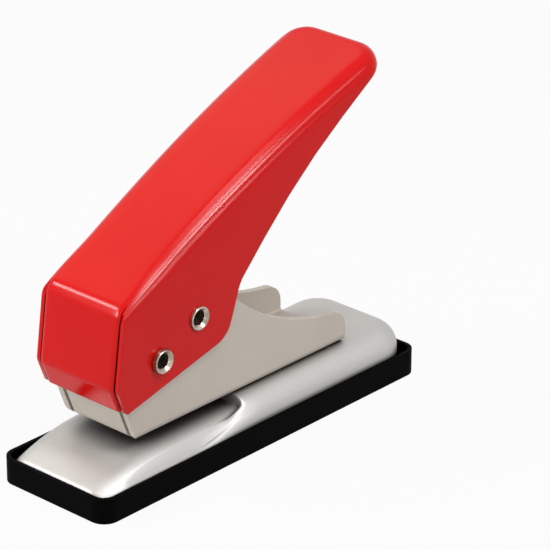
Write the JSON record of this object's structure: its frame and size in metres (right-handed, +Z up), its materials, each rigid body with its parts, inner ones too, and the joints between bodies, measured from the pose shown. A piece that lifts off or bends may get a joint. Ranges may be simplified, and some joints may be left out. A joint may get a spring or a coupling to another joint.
{
  "type": "single hole punch",
  "caption": "Desk hole punch with a long folded lever handle that drives a sprung punch pin through a channel frame into a die, on a pressed base in a pull-off chip tray.",
  "frame": {"origin": "middle of the tray's underside, on the table", "axes": "+X from the paper throat to the rear, +Z up, +Y across to the side away from the picture's camera"},
  "size_m": [0.11, 0.0346, 0.0881],
  "materials": {
    "tray_plastic": "satin",
    "base_finish": "satin",
    "frame_paint": "matt",
    "red_paint": "gloss",
    "nickel": "bright",
    "tool_steel": "ground",
    "spring_steel": "drawn wire"
  },
  "bodies": {
    "base": {"base_plate": "base_finish", "die_plate": "tool_steel", "die_rivets": "nickel", "frame": "frame_paint", "frame_rivets": "nickel", "guide_bracket": "tool_steel", "guide_rivets": "nickel", "pivot_rivet": "nickel", "pivot_sleeve": "tool_steel", "return_spring": "spring_steel"},
    "tray": {"chip_tray": "tray_plastic"},
    "lever": {"handle": "red_paint", "drive_rivet": "nickel", "drive_sleeve": "tool_steel"},
    "punch": {"punch_pin": "tool_steel", "spring_washer": "nickel", "retaining_clip": "spring_steel"}
  },
  "joints": [
    {"name": "handle_pivot", "type": "hinge", "parent": "base", "child": "lever", "pos_m": [-0.0321, 0, 0.0329], "axis": [0, 1, 0], "range_deg": [0, 25], "stiffness_Nm_per_rad": 0.3, "springref_deg": -22.92},
    {"name": "punch_slide", "type": "slide", "parent": "base", "child": "punch", "axis": [0, 0, -1], "range_m": [0, 0.00594], "deforming": ["return_spring"]},
    {"name": "tray_release", "type": "slide", "parent": "base", "child": "tray", "axis": [0, 0, -1], "range_m": [0, 0.012]}
  ],
  "couplings": [
    {"joint": "punch_slide", "follows": "handle_pivot", "m_per_rad": 0.0136}
  ]
}
